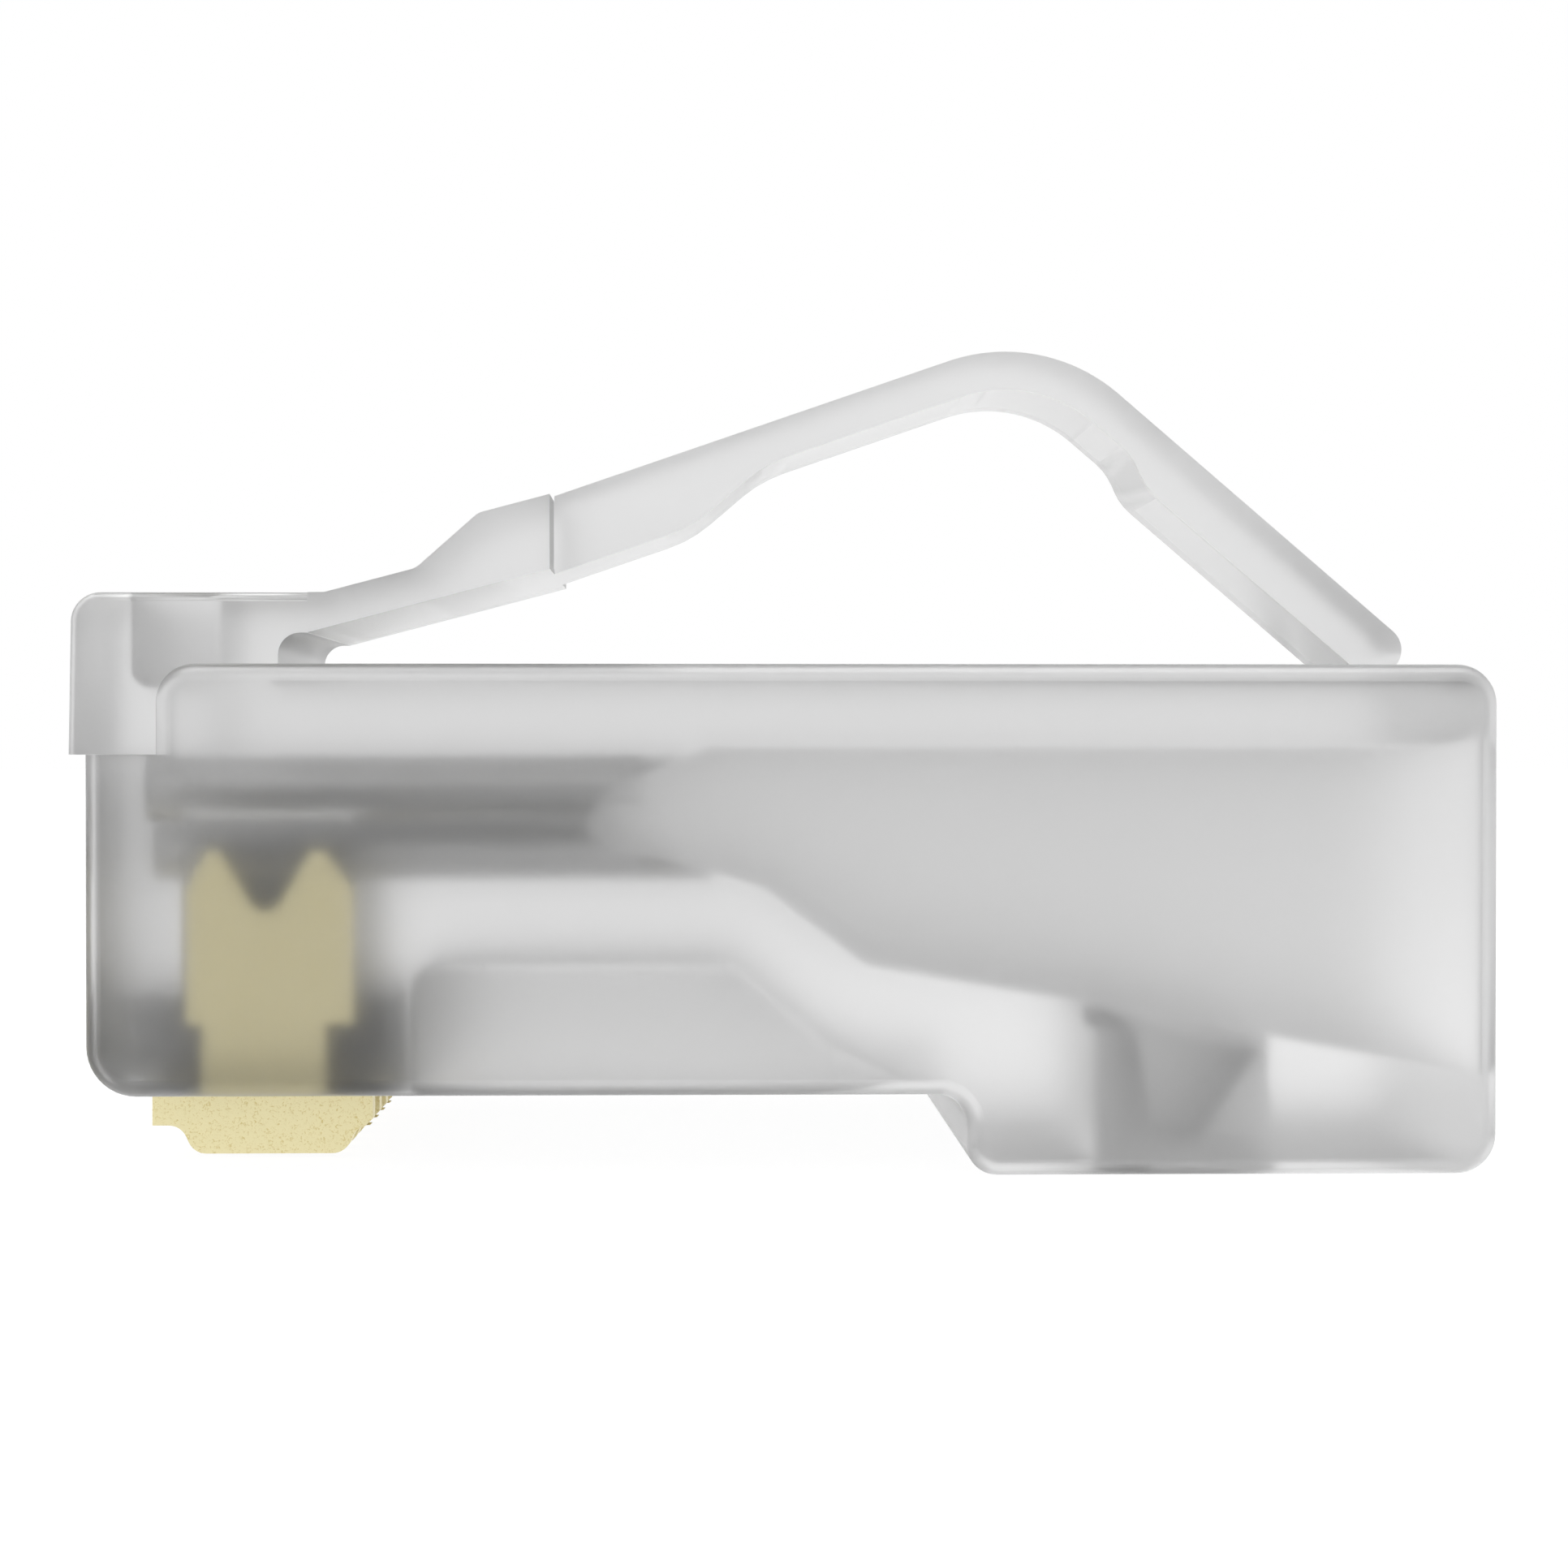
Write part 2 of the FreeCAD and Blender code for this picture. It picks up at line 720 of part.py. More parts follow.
def bar_outline():
    """Side outline of the bar: a thin web at the front that carries a tapered foot."""
    top = "(bar_pivot_z + bar_plate / 2)"
    return [
        ("bar_pivot_x", top),
        ("(window_rear - bar_gap)", "(window_lip_rise + bar_rear_rise)"),
        ("(bar_foot_front_x + bar_foot_length)", "bar_foot_rise", "bar_foot_round"),
        ("bar_foot_front_x", "bar_foot_rise", "bar_foot_round"),
        ("bar_front_x", "(bar_pivot_z - bar_plate / 2 - 0.1)", "bar_foot_round"),
        ("bar_pivot_x", "(bar_pivot_z - bar_plate / 2)"),
    ]


def make_bar():
    """Pressure bar that is pushed in on the cable when the plug is crimped."""
    body = new_body("strain_relief_bar")
    width = "(window_width - 2 * bar_gap)"
    add_feature(body, "Pad", "bar", side_sketch(body, "bar_outline", bar_outline()), width)
    add_knuckle(body, "bar_knuckle", "bar_pivot_x", "bar_pivot_z", "bar_plate / 2", width)
    return body


# The contacts ------------------------------------------------------------------------------


def contact_outline(short):
    """Side outline of a blade: contact head, neck and two tines; short lowers the tines."""
    base = "contact_bottom"
    ledge = f"({base} + head_ledge_rise)"
    neck = "(contact_bottom + neck_top_rise)"
    blade = f"(blade_top_rise - {short})"
    tine = f"(tine_rise - {short})"
    notch = f"(notch_rise - {short})"
    middle = "((tine_front + tine_rear) / 2)"
    return [
        ("head_front", ledge),
        ("(toe_front - toe_slope)", ledge, "toe_round"),
        ("toe_front", base, "toe_round"),
        ("toe_rear", base, "toe_round"),
        ("(toe_rear + toe_slope)", ledge, "toe_round"),
        ("(head_rear - head_chamfer)", ledge),
        ("head_rear", f"({ledge} + head_chamfer)"),
        ("head_rear", "heel_drop"),
        ("neck_rear", "heel_drop"),
        ("neck_rear", neck),
        ("blade_rear", neck),
        ("blade_rear", blade),
        ("(tine_rear + tine_tip / 2)", tine),
        ("(tine_rear - tine_tip / 2)", tine),
        (f"({middle} + notch_flat / 2)", notch, "notch_round"),
        (f"({middle} - notch_flat / 2)", notch, "notch_round"),
        ("(tine_front + tine_tip / 2)", tine),
        ("(tine_front - tine_tip / 2)", tine),
        ("blade_front", blade),
        ("blade_front", neck),
        ("neck_front", neck),
        ("neck_front", "heel_drop"),
        ("head_front", "heel_drop"),
    ]


def make_contact(index):
    """One stamped contact, standing as far out of the housing as before crimping."""
    body = new_body(f"contact_{index + 1}")
    row = "upper" if index % 2 == ROWS["upper"]["first"] else "lower"
    away = f"(-1 * {contact_y(index)})"
    outline = side_sketch(body, "blade_outline", contact_outline(ROWS[row]["short"]), away)
    add_feature(body, "Pad", "blade", outline, "contact_thickness")
    return body


# Build, check and write --------------------------------------------------------------------


def check(parts):
    """Stop if any object failed to recompute or any sub-part is not one valid solid."""
    doc.recompute()
    for item in doc.Objects:
        if "Invalid" in item.State or "Error" in item.State:
            raise RuntimeError(f"{item.Name} failed to recompute")
    for part in parts:
        shape = part.Shape
        if shape.isNull() or not shape.isValid() or len(shape.Solids) != 1:
            raise RuntimeError(f"{part.Label} is not one valid solid")


def main():
    fill_sheet()
    parts = [make_housing(), make_latch_arm(), make_latch_tail(), make_bar()]
    parts += [make_contact(index) for index in range(CONTACT_COUNT)]
    check(parts)
    os.makedirs("parts", exist_ok=True)
    for part in parts:
        part.Shape.exportStep(os.path.join("parts", f"{part.Label}.step"))


main()
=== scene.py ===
import json
import math

import bpy
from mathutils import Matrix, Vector


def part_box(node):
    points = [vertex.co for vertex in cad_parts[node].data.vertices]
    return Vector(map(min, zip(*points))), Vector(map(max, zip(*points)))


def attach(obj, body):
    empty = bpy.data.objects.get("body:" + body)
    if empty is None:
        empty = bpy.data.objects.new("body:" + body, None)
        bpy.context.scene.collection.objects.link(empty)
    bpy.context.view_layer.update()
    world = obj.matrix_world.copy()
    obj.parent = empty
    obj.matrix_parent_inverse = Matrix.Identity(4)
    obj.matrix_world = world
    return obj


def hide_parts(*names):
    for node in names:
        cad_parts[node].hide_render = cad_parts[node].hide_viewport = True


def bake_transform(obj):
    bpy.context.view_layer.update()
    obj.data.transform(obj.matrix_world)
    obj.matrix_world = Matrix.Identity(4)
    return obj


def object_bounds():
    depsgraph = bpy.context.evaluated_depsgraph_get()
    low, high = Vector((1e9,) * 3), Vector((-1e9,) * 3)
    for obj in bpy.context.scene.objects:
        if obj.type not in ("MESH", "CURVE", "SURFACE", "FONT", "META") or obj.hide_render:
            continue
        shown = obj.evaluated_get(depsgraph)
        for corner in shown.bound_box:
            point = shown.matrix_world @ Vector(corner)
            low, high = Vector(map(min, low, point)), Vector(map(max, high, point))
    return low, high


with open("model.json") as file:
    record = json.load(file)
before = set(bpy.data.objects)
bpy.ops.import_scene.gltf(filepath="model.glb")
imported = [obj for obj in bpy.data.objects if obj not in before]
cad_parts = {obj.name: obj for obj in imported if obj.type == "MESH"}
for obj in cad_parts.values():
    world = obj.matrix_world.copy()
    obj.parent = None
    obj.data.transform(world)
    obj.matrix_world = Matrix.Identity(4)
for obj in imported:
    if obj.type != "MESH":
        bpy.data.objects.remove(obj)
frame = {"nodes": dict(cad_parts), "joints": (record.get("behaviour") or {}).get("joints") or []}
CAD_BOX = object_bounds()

bl_info = {
    "name": "Modular plug",
    "version": (1, 0, 0),
    "blender": (4, 5, 0),
    "location": "3D View > Sidebar > Modular plug",
    "description": "Dresses the eight-way modular plug and sets its stage",
    "category": "Object",
}

MM = 0.001
CONTACTS = [f"contact_{number}" for number in range(1, 9)]
JOINTS = {joint["name"]: joint for joint in frame["joints"]}
ROOT_PIVOT = Vector(JOINTS["latch_flex"]["pos_m"])
ARCH_PIVOT = Vector(JOINTS["arch_flex"]["pos_m"])
BOX_LOW, BOX_HIGH = (Vector(corner) for corner in CAD_BOX)

# Distances within which mesh points count as one, or as lying in a plane.
MERGE = 0.0005 * MM
WELD = 0.01 * MM
IN_PLANE = 1e-7
ON_SEAM = 0.002 * MM

# SEAT_RADIUS takes in the CAD's round seat of the latch root, about its pivot.
# The hidden seam there ends SEAT_DEPTH below that pivot.
SEAT_RADIUS = 0.32 * MM
SEAT_DEPTH = 0.5 * MM

# The material slot of hidden seams on a moulded piece.
SEAM_SLOT = 1


# Sizes and colours ------------------------------------------------------------------------


class PlugMoulding(bpy.types.PropertyGroup):
    """Clear polycarbonate moulding: body and latch."""

    tint: bpy.props.StringProperty(
        name="Tint", description="Colour that the clear plastic passes, sRGB hex", default="EDEDED"
    )
    frost: bpy.props.FloatProperty(
        name="Frost", description="Roughness of the moulded surface", default=0.36, min=0, max=1
    )
    polish: bpy.props.FloatProperty(
        name="Polish", description="Roughness of the latch's polished underside", default=0.2, min=0, max=1
    )
    ior: bpy.props.FloatProperty(
        name="IOR", description="Index of refraction of polycarbonate", default=1.585, min=1
    )


class PlugLatch(bpy.types.PropertyGroup):
    """Where the latch flexes and how its arch is drawn."""

    root_setback: bpy.props.FloatProperty(
        name="Root setback",
        description="From the root pivot forward to the face of the nose block",
        default=0.175 * MM,
        unit="LENGTH",
    )
    root_reach: bpy.props.FloatProperty(
        name="Root reach",
        description="Length of thin root that bends",
        default=0.9 * MM,
        unit="LENGTH",
    )
    root_slope: bpy.props.FloatProperty(
        name="Root slope",
        description="Rise of the wide arm from its root",
        default=math.radians(14.8),
        subtype="ANGLE",
    )
    knuckle_cut: bpy.props.FloatProperty(
        name="Knuckle cut",
        description="From the root pivot back to where the arm has its full section",
        default=0.09 * MM,
        unit="LENGTH",
    )
    seam_reach: bpy.props.FloatProperty(
        name="Seam reach",
        description="From the root pivot back to the hidden seam in the narrow arm",
        default=3.66 * MM,
        unit="LENGTH",
    )
    side_margin: bpy.props.FloatProperty(
        name="Side margin",
        description="Depth of the side edges that are drawn square",
        default=0.15 * MM,
        unit="LENGTH",
    )
    arch_radius: bpy.props.FloatProperty(
        name="Arch radius",
        description="Radius of the arch at the middle of its section",
        default=2.55 * MM,
        unit="LENGTH",
    )
    arm_slope: bpy.props.FloatProperty(
        name="Arm slope",
        description="Rise of the narrow arm",
        default=math.radians(19.04),
        subtype="ANGLE",
    )
    tail_slope: bpy.props.FloatProperty(
        name="Tail slope",
        description="Fall of the tail",
        default=math.radians(40.6),
        subtype="ANGLE",
    )
    arch_steps: bpy.props.IntProperty(
        name="Arch steps", description="Steps round the arch", default=28, min=4
    )


class PlugChannels(bpy.types.PropertyGroup):
    """Where the two staggered rows of wire channels open into the cable cavity."""

    pitch: bpy.props.FloatProperty(
        name="Pitch", description="From one contact to the next", default=1.016 * MM, unit="LENGTH"
    )
    radius: bpy.props.FloatProperty(
        name="Radius", description="Radius of a wire channel", default=0.51 * MM, unit="LENGTH"
    )
    upper_rise: bpy.props.FloatProperty(
        name="Upper rise",
        description="Height of the upper row over the heel's underside",
        default=5.85 * MM,
        unit="LENGTH",
    )
    row_step: bpy.props.FloatProperty(
        name="Row step",
        description="From the upper row down to the lower row",
        default=0.93 * MM,
        unit="LENGTH",
    )
    open_from: bpy.props.FloatProperty(
        name="Open from",
        description="X where the channels meet the cavity's sloping front",
        default=-1.94 * MM,
        unit="LENGTH",
    )
    cavity_width: bpy.props.FloatProperty(
        name="Cavity width",
        description="Width that the outer channels stay inside, so they don't score the side walls",
        default=7.98 * MM,
        unit="LENGTH",
    )
    open_length: bpy.props.FloatProperty(
        name="Open length",
        description="Length of each channel along that slope",
        default=1.1 * MM,
        unit="LENGTH",
    )


class PlugContacts(bpy.types.PropertyGroup):
    """Gold-plated contact blades."""

    gold: bpy.props.StringProperty(
        name="Gold", description="Colour of the plating, sRGB hex", default="F1E7B9"
    )
    pit_colour: bpy.props.StringProperty(
        name="Pit colour", description="Colour in the pits of the plating", default="DCCB8C"
    )
    pit_size: bpy.props.FloatProperty(
        name="Pit size", description="Size of the plating's pits", default=0.05 * MM, unit="LENGTH"
    )
    pit_depth: bpy.props.FloatProperty(
        name="Pit depth", description="Depth of the pits", default=0.006 * MM, unit="LENGTH"
    )
    pit_strength: bpy.props.FloatProperty(
        name="Pit strength", description="How much the pits show in relief", default=0.6, min=0, max=1
    )
    metal: bpy.props.FloatProperty(
        name="Metal", description="Metallic share of the plating", default=0.85, min=0, max=1
    )
    satin: bpy.props.FloatProperty(
        name="Satin", description="Roughness of the plating", default=0.45, min=0, max=1
    )


class PlugStage(bpy.types.PropertyGroup):
    """Floor, soft light and camera."""

    focal_length: bpy.props.FloatProperty(
        name="Focal length", description="Lens in millimetres", default=71.0
    )
    camera_back: bpy.props.FloatProperty(
        name="Camera back",
        description="From the plug's middle plane out to the camera",
        default=52.19 * MM,
        unit="LENGTH",
    )
    camera_side: bpy.props.FloatProperty(
        name="Camera side",
        description="From the plug's middle towards the cable end",
        default=-1.07 * MM,
        unit="LENGTH",
    )
    camera_rise: bpy.props.FloatProperty(
        name="Camera rise",
        description="Camera's height over the heel's underside",
        default=6.41 * MM,
        unit="LENGTH",
    )
    aim_side: bpy.props.FloatProperty(
        name="Aim side",
        description="Where the camera looks in the middle plane, towards the cable end",
        default=0.38 * MM,
        unit="LENGTH",
    )
    aim_rise: bpy.props.FloatProperty(
        name="Aim rise",
        description="Height of the point that the camera looks at",
        default=5.85 * MM,
        unit="LENGTH",
    )
    floor_size: bpy.props.FloatProperty(
        name="Floor size", description="Width of the floor", default=2.0, unit="LENGTH"
    )
    softbox_rise: bpy.props.FloatProperty(
        name="Softbox rise",
        description="Height of the softbox over the top of the latch",
        default=60 * MM,
        unit="LENGTH",
    )
    softbox_size: bpy.props.FloatProperty(
        name="Softbox size", description="Width of the softbox", default=100 * MM, unit="LENGTH"
    )
    softbox_power: bpy.props.FloatProperty(
        name="Softbox power", description="Power of the softbox", default=0.08, unit="POWER"
    )
    softbox_forward: bpy.props.FloatProperty(
        name="Softbox forward",
        description="From the plug's middle plane towards the camera",
        default=20 * MM,
        unit="LENGTH",
    )
    softbox_tilt: bpy.props.FloatProperty(
        name="Softbox tilt",
        description="Tilt of the softbox about the plug's length",
        default=-0.1,
        subtype="ANGLE",
    )
    backdrop_from: bpy.props.FloatProperty(
        name="Backdrop from",
        description="Squared share of a direction along Y at which the backdrop begins",
        default=0.1,
    )
    backdrop_full: bpy.props.FloatProperty(
        name="Backdrop full",
        description="Squared share of a direction along Y at which the backdrop is full",
        default=0.6,
    )
    off_backdrop: bpy.props.FloatProperty(
        name="Off backdrop",
        description="Brightness to the sides and overhead, where the backdrop is 1",
        default=0.05,
    )
    world_light: bpy.props.FloatProperty(
        name="World light", description="Strength of the soft light all round", default=0.75
    )
    card_tone: bpy.props.FloatProperty(
        name="Card tone", description="Brightness of the floor card, linear", default=0.8, min=0, max=1
    )
    card_glow: bpy.props.FloatProperty(
        name="Card glow", description="Strength of the white that the floor shows", default=1.12
    )
    card_white: bpy.props.FloatProperty(
        name="Card white",
        description="Share of that white for the camera, the rest keeps the shadow",
        default=0.85,
        min=0,
        max=1,
    )
    card_passed: bpy.props.FloatProperty(
        name="Card passed",
        description="Share of that white for rays that passed through the plastic",
        default=0.2,
        min=0,
        max=1,
    )


SETTINGS = {
    "plug_moulding": PlugMoulding,
    "plug_latch": PlugLatch,
    "plug_channels": PlugChannels,
    "plug_contacts": PlugContacts,
    "plug_stage": PlugStage,
}


# Small tools ------------------------------------------------------------------------------


def linear(colour):
    """An sRGB hex colour as linear red, green, blue and alpha."""
    parts = [int(colour[i : i + 2], 16) / 255 for i in (0, 2, 4)]
    return [p / 12.92 if p <= 0.04045 else ((p + 0.055) / 1.055) ** 2.4 for p in parts] + [1.0]


def select_only(*objects):
    """Deselect everything else and make the first object active."""
    bpy.ops.object.select_all(action="DESELECT")
    for item in objects:
        item.select_set(True)
    bpy.context.view_layer.objects.active = objects[0]


def copy_node(node, name):
    """A merged copy of a CAD node's mesh, free of its body, as a piece of its own."""
    mesh = frame["nodes"][node].data.copy()
    mesh.name = name
    mesh.materials.clear()
    piece = bpy.data.objects.new(name, mesh)
    bpy.context.scene.collection.objects.link(piece)
    select_only(piece)
    bpy.ops.object.mode_set(mode="EDIT")
    bpy.ops.mesh.select_all(action="SELECT")
    bpy.ops.mesh.remove_doubles(threshold=MERGE)
    bpy.ops.mesh.dissolve_limited(angle_limit=math.radians(0.3))
    bpy.ops.object.mode_set(mode="OBJECT")
    return piece


def pick(piece, kind, wanted):
    """In object mode, select only the vertices, edges or faces for which wanted is true."""
    mesh = piece.data
    for group in (mesh.vertices, mesh.edges, mesh.polygons):
        group.foreach_set("select", [False] * len(group))
    chosen = 0
    for item in getattr(mesh, kind):
        if wanted(item):
            item.select = True
            chosen += 1
    if not chosen:
        raise RuntimeError(f"nothing to select on {piece.name}")
    return chosen


def edit(piece, mode):
    """Enter edit mode on one piece in the given select mode."""
    select_only(piece)
    bpy.context.tool_settings.mesh_select_mode = (mode == "VERT", mode == "EDGE", mode == "FACE")
    bpy.ops.object.mode_set(mode="EDIT")


def leave_edit():
    """Go back to object mode, which also writes the edit to the mesh."""
    bpy.ops.object.mode_set(mode="OBJECT")


def bisect(piece, point, normal, fill):
    """Cut away what lies beyond a plane, on the side that its normal points to."""
    edit(piece, "VERT")
    bpy.ops.mesh.select_all(action="SELECT")
    bpy.ops.mesh.bisect(
        plane_co=point, plane_no=normal, use_fill=fill, clear_outer=True, threshold=IN_PLANE
    )
    leave_edit()


def smooth_rounds(piece, widest=0.4 * MM):
    """Shade the narrow facets of rounded edges smooth, and leave the flats flat."""
    select_only(piece)
    bpy.ops.object.shade_smooth_by_angle(angle=math.radians(30))
    mesh = piece.data
    for face in mesh.polygons:
        corners = [mesh.vertices[index].co for index in face.vertices]
        longest = max((corners[i] - corners[i - 1]).length for i in range(len(corners)))
        face.use_smooth = face.area < widest * longest


# Materials --------------------------------------------------------------------------------


def new_material(name):
    """An empty node material with its output node."""
    material = bpy.data.materials.new(name)
    material.use_nodes = True
    material.node_tree.nodes.clear()
    output = material.node_tree.nodes.new("ShaderNodeOutputMaterial")
    return material, output


def add_node(tree, kind, settings=None, inputs=None, links=None):
    """Add a node, set its properties and sockets, and link sockets from other nodes' outputs."""
    node = tree.nodes.new(kind)
    for key, setting in (settings or {}).items():
        setattr(node, key, setting)
    for key, setting in (inputs or {}).items():
        node.inputs[key].default_value = setting
    for key, source in (links or {}).items():
        tree.links.new(source, node.inputs[key])
    return node


def clear_polycarbonate(name, frost):
    """Clear polycarbonate, injection moulded with a lightly frosted surface.

    The frost blurs what lies inside, and the high index gives dark, soft edges.
    """
    sizes = bpy.context.scene.plug_moulding
    material, output = new_material(name)
    tree = material.node_tree
    shader = add_node(
        tree,
        "ShaderNodeBsdfPrincipled",
        inputs={
            "Base Color": linear(sizes.tint),
            "Roughness": frost,
            "IOR": sizes.ior,
            "Transmission Weight": 1.0,
        },
    )
    tree.links.new(shader.outputs["BSDF"], output.inputs["Surface"])
    return material


def hidden_seam():
    """Inner faces where one moulding is divided: nothing shows there."""
    material, output = new_material("inside of the moulding")
    seam = add_node(material.node_tree, "ShaderNodeBsdfTransparent")
    material.node_tree.links.new(seam.outputs["BSDF"], output.inputs["Surface"])
    return material


def gold_plate():
    """Thin gold plate over stamped phosphor bronze: pale, satin and finely pitted."""
    sizes = bpy.context.scene.plug_contacts
    material, output = new_material("gold plate on phosphor bronze")
    tree = material.node_tree
    place = add_node(tree, "ShaderNodeTexCoord")
    pits = add_node(
        tree,
        "ShaderNodeTexNoise",
        inputs={"Scale": 1 / sizes.pit_size, "Detail": 3.0, "Distortion": 1.2},
        links={"Vector": place.outputs["Object"]},
    )
    ramp = add_node(tree, "ShaderNodeValToRGB", links={"Fac": pits.outputs["Fac"]})
    ramp.color_ramp.elements[0].position = 0.30
    ramp.color_ramp.elements[0].color = linear(sizes.pit_colour)
    ramp.color_ramp.elements[1].position = 0.46
    ramp.color_ramp.elements[1].color = linear(sizes.gold)
    bump = add_node(
        tree,
        "ShaderNodeBump",
        inputs={"Strength": sizes.pit_strength, "Distance": sizes.pit_depth},
        links={"Height": pits.outputs["Fac"]},
    )
    shader = add_node(
        tree,
        "ShaderNodeBsdfPrincipled",
        inputs={"Metallic": sizes.metal, "Roughness": sizes.satin},
        links={"Base Color": ramp.outputs["Color"], "Normal": bump.outputs["Normal"]},
    )
    tree.links.new(shader.outputs["BSDF"], output.inputs["Surface"])
    return material


def plastic():
    """The body's plastic."""
    name = "clear polycarbonate, frosted"
    frost = bpy.context.scene.plug_moulding.frost
    return bpy.data.materials.get(name) or clear_polycarbonate(name, frost)


def polished_plastic():
    """The same plastic where the mould is polished, under the latch."""
    name = "clear polycarbonate, polished"
    frost = bpy.context.scene.plug_moulding.polish
    return bpy.data.materials.get(name) or clear_polycarbonate(name, frost)


def seam():
    """The one material of all hidden seams."""
    return bpy.data.materials.get("inside of the moulding") or hidden_seam()


# Pieces -----------------------------------------------------------------------------------


def root_plane():
    """X of the nose block's rear face, where the latch root leaves it."""
    return ROOT_PIVOT.x - bpy.context.scene.plug_latch.root_setback


def seam_plane(sizes):
    """X of the hidden seam across the narrow arm."""
    return ROOT_PIVOT.x + sizes.seam_reach


def mark_seam(piece, x, lowest=-math.inf):
    """Give the flat faces at one X, above a height, the material of a hidden seam."""
    for face in piece.data.polygons:
        flat = abs(face.normal.x) > 0.99 and abs(face.center.x - x) < ON_SEAM
        if flat and face.center.z > lowest:
            face.material_index = SEAM_SLOT


def channel_cutter(sizes):
    """One object of eight cylinders, in two staggered rows, kept inside the cavity's width."""
    cutters = []
    middle = (len(CONTACTS) - 1) / 2
    most = sizes.cavity_width / 2 - sizes.radius
    for number in range(len(CONTACTS)):
        side = max(-most, min(most, (number - middle) * sizes.pitch))
        rise = BOX_LOW.z + sizes.upper_rise - (number % 2) * sizes.row_step
        bpy.ops.mesh.primitive_cylinder_add(
            vertices=48,
            radius=sizes.radius,
            depth=sizes.open_length,
            location=(sizes.open_from + sizes.open_length / 2, side, rise),
            rotation=(0, math.pi / 2, 0),
        )
        cutters.append(bpy.context.active_object)
    select_only(*cutters)
    bpy.ops.object.join()
    return bpy.context.active_object


def open_channels(piece, sizes):
    """Run the wire channels on until they open through the sloping front of the cavity."""
    cutter = channel_cutter(sizes)
    modifier = piece.modifiers.new("open_channels", "BOOLEAN")
    modifier.operation = "DIFFERENCE"
    modifier.solver = "EXACT"
    modifier.object = cutter
    select_only(piece)
    bpy.ops.object.modifier_apply(modifier=modifier.name)
    select_only(cutter)
    bpy.ops.object.delete()


def square_sides(piece, margin):
    """Carry the side outline straight out to the full width, over the rounded side edges."""
    half_width = max(vertex.co.y for vertex in piece.data.vertices)
    for side in (-1, 1):
        cut = side * (half_width - margin)
        bisect(piece, (0, cut, 0), (0, side, 0), fill=True)
        pick(piece, "vertices", lambda vertex: abs(vertex.co.y - cut) < IN_PLANE)
        edit(piece, "VERT")
        bpy.ops.mesh.extrude_region_move(
            TRANSFORM_OT_translate={"value": (0, side * margin, 0)}
        )
        leave_edit()


def polish_underside(piece):
    """Give the faces that look down the polished plastic."""
    piece.data.materials.append(polished_plastic())
    for face in piece.data.polygons:
        if face.normal.z < -0.1 and face.material_index == 0:
            face.material_index = len(piece.data.materials) - 1


def moulded_copy(node, name):
    """A merged copy of a CAD node in the plastic, with a second slot for hidden seams."""
    piece = copy_node(node, name)
    piece.data.materials.append(plastic())
    piece.data.materials.append(seam())
    return piece


class PLUG_OT_housing(bpy.types.Operator):
    """Dress the body: the CAD moulding with the latch's root seat closed"""

    bl_idname = "plug.housing"
    bl_label = "Housing"

    def execute(self, context):
        piece = moulded_copy("housing", "housing_moulding")
        open_channels(piece, context.scene.plug_channels)
        x = root_plane()
        self.close_seat(piece, x)
        smooth_rounds(piece)
        mark_seam(piece, x, lowest=ROOT_PIVOT.z - SEAT_DEPTH)
        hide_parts("housing")
        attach(piece, "housing")
        return {"FINISHED"}

    def close_seat(self, piece, x):
        """Flatten the round seat of the latch root onto the nose block's rear face."""

        def in_seat(vertex):
            away = Vector((vertex.co.x - ROOT_PIVOT.x, 0, vertex.co.z - ROOT_PIVOT.z))
            return away.length < SEAT_RADIUS and vertex.co.x < x - IN_PLANE

        pick(piece, "vertices", in_seat)
        edit(piece, "VERT")
        bpy.ops.transform.resize(
            value=(0, 1, 1), center_override=(x, 0, 0), orient_type="GLOBAL"
        )
        bpy.ops.mesh.select_all(action="SELECT")
        bpy.ops.mesh.remove_doubles(threshold=MERGE)
        leave_edit()


class PLUG_OT_latch_root(bpy.types.Operator):
    """Dress the wide part of the latch, from the nose block to the seam behind its shoulder"""

    bl_idname = "plug.latch_root"
    bl_label = "Latch root"

    def execute(self, context):
        sizes = context.scene.plug_latch
        piece = moulded_copy("latch_arm", "latch_root")
        x = root_plane()
        end = seam_plane(sizes)
        bisect(piece, (end, 0, 0), (1, 0, 0), fill=True)
        self.square_root(piece, x, sizes)
        square_sides(piece, sizes.side_margin)
        smooth_rounds(piece)
        mark_seam(piece, x)
        mark_seam(piece, end)
        polish_underside(piece)
        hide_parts("latch_arm")
        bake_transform(piece)
        return {"FINISHED"}

    def square_root(self, piece, x, sizes):
        """Cut off the round knuckle and carry the thin root straight on into the nose block."""
        cut = ROOT_PIVOT.x + sizes.knuckle_cut
        drop = (x - cut) * math.tan(sizes.root_slope)
        bisect(piece, (cut, 0, 0), (-1, 0, 0), fill=True)
        pick(piece, "vertices", lambda vertex: vertex.co.x < cut + IN_PLANE)
        edit(piece, "VERT")
        bpy.ops.mesh.extrude_region_move(TRANSFORM_OT_translate={"value": (x - cut, 0, drop)})
        leave_edit()
        heights = [v.co.z for v in piece.data.vertices if v.co.x < x + IN_PLANE]
        block_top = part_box("housing")[1][2]
        pick(piece, "vertices", lambda v: v.co.x < x + IN_PLANE and v.co.z > ROOT_PIVOT.z)
        edit(piece, "VERT")
        bpy.ops.transform.translate(value=(0, 0, block_top - max(heights)))
        leave_edit()


